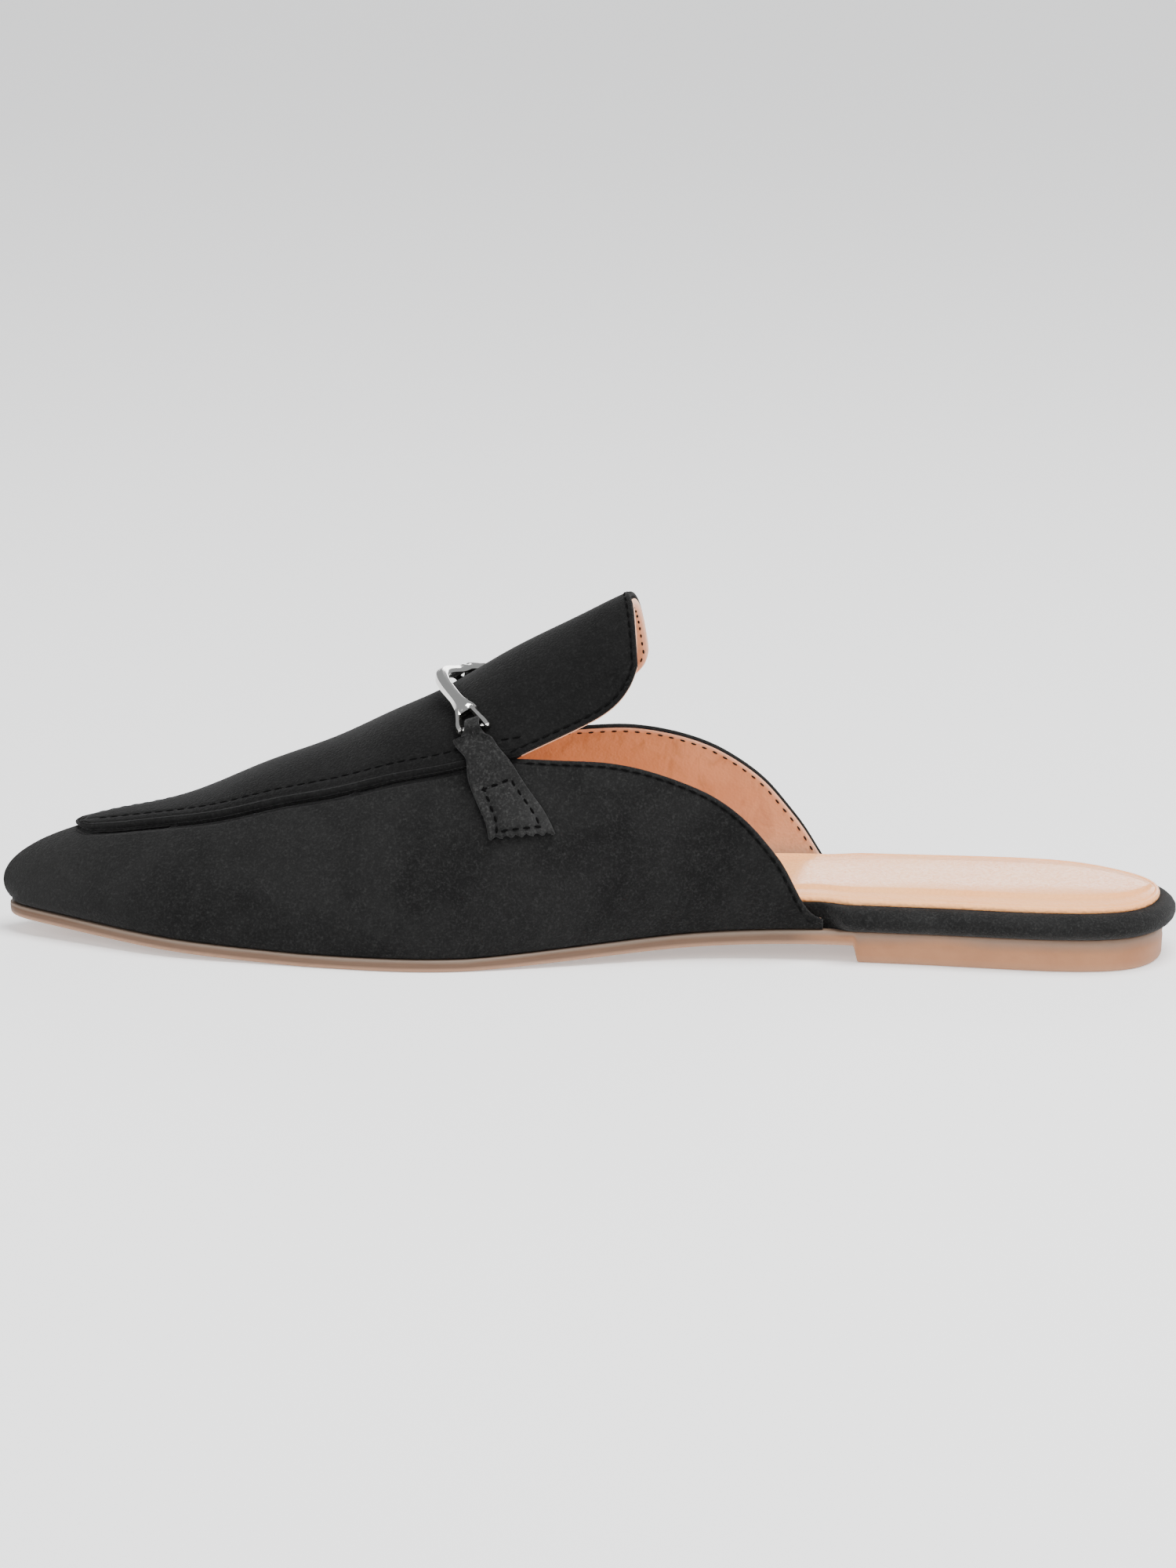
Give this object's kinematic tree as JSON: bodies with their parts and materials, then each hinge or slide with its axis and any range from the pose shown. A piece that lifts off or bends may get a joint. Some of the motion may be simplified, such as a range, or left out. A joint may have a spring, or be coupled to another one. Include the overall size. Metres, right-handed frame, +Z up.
{
  "type": "loafer mule",
  "caption": "Right-foot backless flat loafer with a pointed toe, a raised apron, a tall tongue, sewn straps with a metal bar and a low heel.",
  "frame": {"origin": "middle of the shoe's box at floor level", "axes": "+X towards the heel, -Y towards the inner side of the foot, +Z up"},
  "size_m": [0.2668, 0.079, 0.0798],
  "materials": {
    "charcoal_suede": "napped suede",
    "tan_leather": "glossy lining leather",
    "tan_rubber": "matt moulded rubber",
    "polished_metal": "polished"
  },
  "bodies": {
    "root": {"outsole": "tan_rubber", "footbed": "charcoal_suede", "sock_lining": "tan_leather", "upper": "charcoal_suede", "apron": "charcoal_suede", "strap_medial": "charcoal_suede", "strap_lateral": "charcoal_suede", "bit_bar": "polished_metal"}
  },
  "joints": []
}
